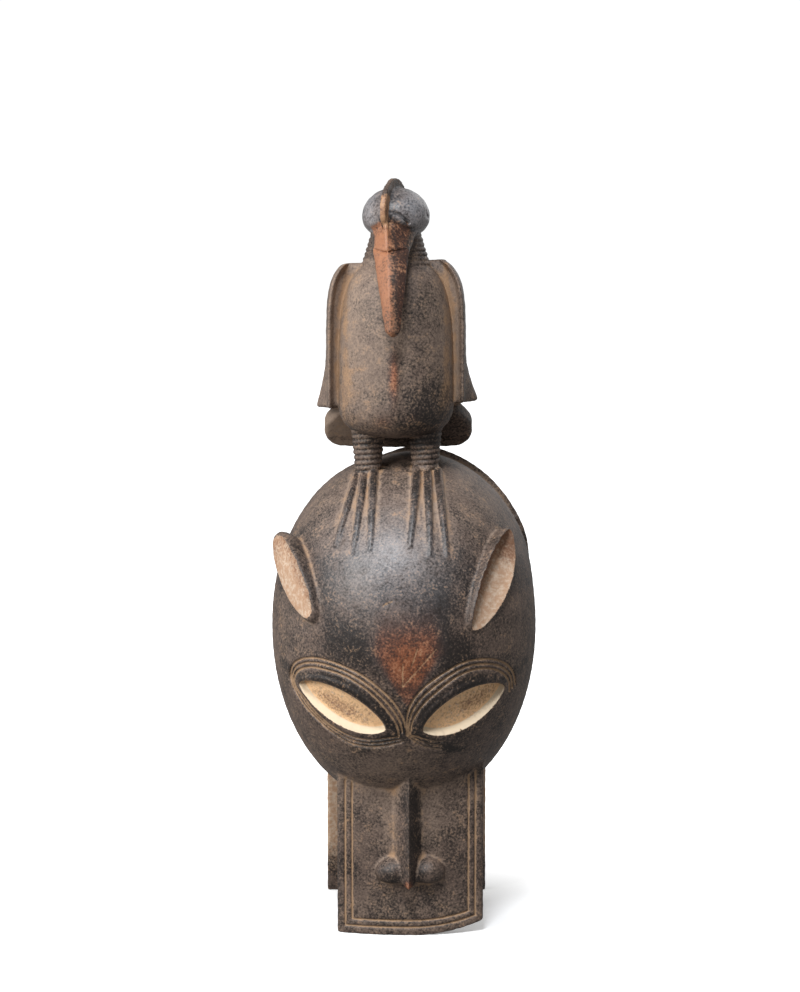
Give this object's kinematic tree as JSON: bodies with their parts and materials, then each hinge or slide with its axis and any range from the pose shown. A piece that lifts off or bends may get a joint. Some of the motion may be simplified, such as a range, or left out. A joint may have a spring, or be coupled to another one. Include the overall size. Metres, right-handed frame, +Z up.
{
  "type": "senufo kagba mask",
  "caption": "Carved wooden mask with a hollow egg-shaped animal head, slanted eyes, cupped ears and flat jaws, and a hornbill standing on its crown.",
  "frame": {"origin": "on the ground, below the middle of the carving's box", "axes": "+Z up, the face looks along -Y, +X to the viewer's right when the viewer looks at the face"},
  "size_m": [0.234, 0.2202, 0.6549],
  "materials": {
    "patinated_wood": "dark brown patina with a soft polish on the forehead and the bird's skull, red-brown where worn, tan dust in the cuts and recesses, and cream kaolin in the eyes and ears"
  },
  "bodies": {
    "root": {"kagba_mask_carving": "patinated_wood"}
  },
  "joints": []
}
